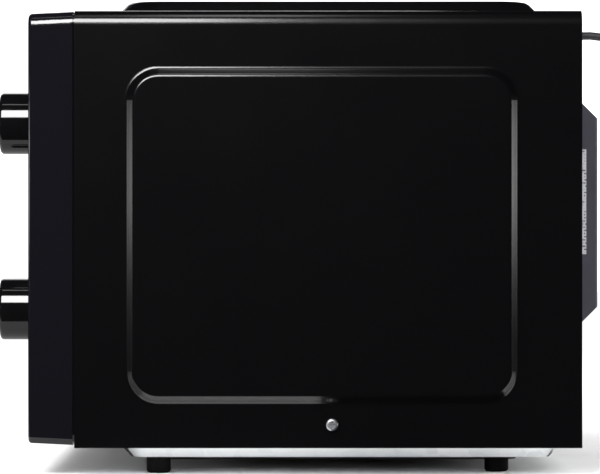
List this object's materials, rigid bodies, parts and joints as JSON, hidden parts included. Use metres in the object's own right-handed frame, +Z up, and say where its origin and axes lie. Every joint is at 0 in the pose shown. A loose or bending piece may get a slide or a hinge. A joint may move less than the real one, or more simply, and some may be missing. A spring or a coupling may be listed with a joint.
{
  "type": "microwave oven",
  "caption": "Compact black microwave oven with grill: two dials, push-button side-hung door, glass turntable, pressed side and top panels and a rear mains lead.",
  "frame": {"origin": "on the worktop under the middle of the oven, its bounding box taken without the mains lead", "axes": "+Z up, front towards -Y, +X on the right of someone facing the door"},
  "size_m": [0.448, 0.4511, 0.2685],
  "materials": {
    "cabinet_paint": "satin black powder coat with fine orange peel",
    "galvanised_sheet": "bright galvanised sheet with small spangle",
    "black_moulding": "glossy black moulded ABS",
    "black_knob": "glossy black moulded knob",
    "cover_plastic": "dark grey moulded polypropylene",
    "label_stock": "printed white label film",
    "foot_rubber": "matt black rubber",
    "bright_screw": "bright zinc-plated steel",
    "front_paint": "light grey enamel",
    "cream_plastic": "moulded nylon",
    "grey_case": "moulded switch case",
    "spring_steel": "drawn spring wire",
    "door_glass": "tinted glass with a printed black border",
    "choke_steel": "black enamelled steel",
    "choke_plastic": "black polypropylene",
    "clear_film": "clear polyester film",
    "mica": "pressed mica sheet",
    "aluminium_fins": "bare aluminium and plated steel",
    "iron_core": "varnished iron laminations with copper windings",
    "fan_plastic": "moulded polypropylene",
    "lamp_glass": "clear lamp glass",
    "board_resin": "phenolic circuit board with parts",
    "heater_steel": "oxidised steel sheath",
    "motor_steel": "plated steel can",
    "tray_glass": "clear pressed glass",
    "lead_rubber": "black PVC mains lead"
  },
  "bodies": {
    "casing": {"cabinet": "cabinet_paint", "back_plate": "galvanised_sheet", "base_plate": "galvanised_sheet", "rear_cover": "cover_plastic", "rating_label": "label_stock", "feet": "foot_rubber", "cabinet_screws": "bright_screw", "cover_screws": "bright_screw", "front_plate": "front_paint", "upper_hinge": "galvanised_sheet", "lower_hinge": "galvanised_sheet", "control_panel": "black_moulding", "power_selector": "grey_case", "timer": "grey_case", "lever_spring": "spring_steel", "latch_board": "cream_plastic", "microswitches": "grey_case", "cavity": "front_paint", "waveguide": "galvanised_sheet", "waveguide_cover": "mica", "magnetron": "aluminium_fins", "transformer": "iron_core", "capacitor": "aluminium_fins", "fan_motor": "iron_core", "air_duct": "choke_plastic", "cavity_lamp": "lamp_glass", "lamp_socket": "galvanised_sheet", "filter_board": "board_resin", "thermal_cutout": "grey_case", "grill_heater": "heater_steel", "heater_housing": "galvanised_sheet", "turntable_motor": "motor_steel", "cord_gland": "lead_rubber", "power_cord": "lead_rubber", "cord_coil": "lead_rubber", "plug": "lead_rubber"},
    "door": {"door_frame": "black_moulding", "door_glass": "door_glass", "door_choke": "choke_steel", "door_screen": "choke_steel", "choke_cover": "choke_plastic", "inner_window": "clear_film", "latch_spring": "spring_steel"},
    "latch": {"latch_hook": "cream_plastic"},
    "power_dial": {"power_knob": "black_knob", "power_shaft": "bright_screw"},
    "timer_dial": {"timer_knob": "black_knob", "timer_shaft": "bright_screw"},
    "button": {"door_button": "black_knob"},
    "lever": {"release_lever": "cream_plastic"},
    "fan": {"fan_blade": "fan_plastic"},
    "turntable": {"coupler": "cream_plastic", "glass_tray": "tray_glass"},
    "ring": {"roller_ring": "cream_plastic"},
    "roller_a": {"roller_1": "cream_plastic"},
    "roller_b": {"roller_2": "cream_plastic"},
    "roller_c": {"roller_3": "cream_plastic"}
  },
  "joints": [
    {"name": "door_hinge", "type": "hinge", "parent": "casing", "child": "door", "pos_m": [-0.212, -0.1384, 0.138], "axis": [0, 0, -1], "range_deg": [0, 100]},
    {"name": "latch_slide", "type": "slide", "parent": "door", "child": "latch", "axis": [0, 0, -1], "range_m": [0, 0.004], "stiffness_N_per_m": 150, "springref_m": -0.008, "deforming": ["latch_spring"]},
    {"name": "power_turn", "type": "hinge", "parent": "casing", "child": "power_dial", "pos_m": [0.16975, -0.165, 0.1983], "axis": [0, 1, 0], "range_deg": [0, 270]},
    {"name": "timer_turn", "type": "hinge", "parent": "casing", "child": "timer_dial", "pos_m": [0.16975, -0.165, 0.0921], "axis": [0, 1, 0], "range_deg": [0, 310]},
    {"name": "button_push", "type": "slide", "parent": "casing", "child": "button", "axis": [0, 1, 0], "range_m": [0, 0.005], "stiffness_N_per_m": 500, "springref_m": -0.004},
    {"name": "lever_turn", "type": "hinge", "parent": "casing", "child": "lever", "pos_m": [0.14, -0.1024, 0.063], "axis": [1, 0, 0], "range_deg": [0, 14.5]},
    {"name": "fan_spin", "type": "hinge", "parent": "casing", "child": "fan", "pos_m": [0.158, 0.1276, 0.112], "axis": [0, 1, 0], "continuous": true},
    {"name": "turntable_spin", "type": "hinge", "parent": "casing", "child": "turntable", "pos_m": [-0.048, 0.0069, 0.05], "axis": [0, 0, 1], "continuous": true},
    {"name": "ring_spin", "type": "hinge", "parent": "casing", "child": "ring", "pos_m": [-0.048, 0.0069, 0.04], "axis": [0, 0, 1], "continuous": true},
    {"name": "roller_a_spin", "type": "hinge", "parent": "ring", "child": "roller_a", "pos_m": [-0.048, 0.1009, 0.0435], "axis": [0, -1, 0], "continuous": true},
    {"name": "roller_b_spin", "type": "hinge", "parent": "ring", "child": "roller_b", "pos_m": [-0.12941, -0.0401, 0.0435], "axis": [0.866, 0.5, 0], "continuous": true},
    {"name": "roller_c_spin", "type": "hinge", "parent": "ring", "child": "roller_c", "pos_m": [0.03341, -0.0401, 0.0435], "axis": [-0.866, 0.5, 0], "continuous": true}
  ],
  "couplings": [
    {"joint": "latch_slide", "follows": "button_push", "ratio": 0.8},
    {"joint": "lever_turn", "follows": "button_push", "rad_per_m": 50},
    {"joint": "ring_spin", "follows": "turntable_spin", "ratio": 0.5},
    {"joint": "roller_a_spin", "follows": "turntable_spin", "ratio": 6.2667},
    {"joint": "roller_b_spin", "follows": "turntable_spin", "ratio": 6.2667},
    {"joint": "roller_c_spin", "follows": "turntable_spin", "ratio": 6.2667}
  ]
}
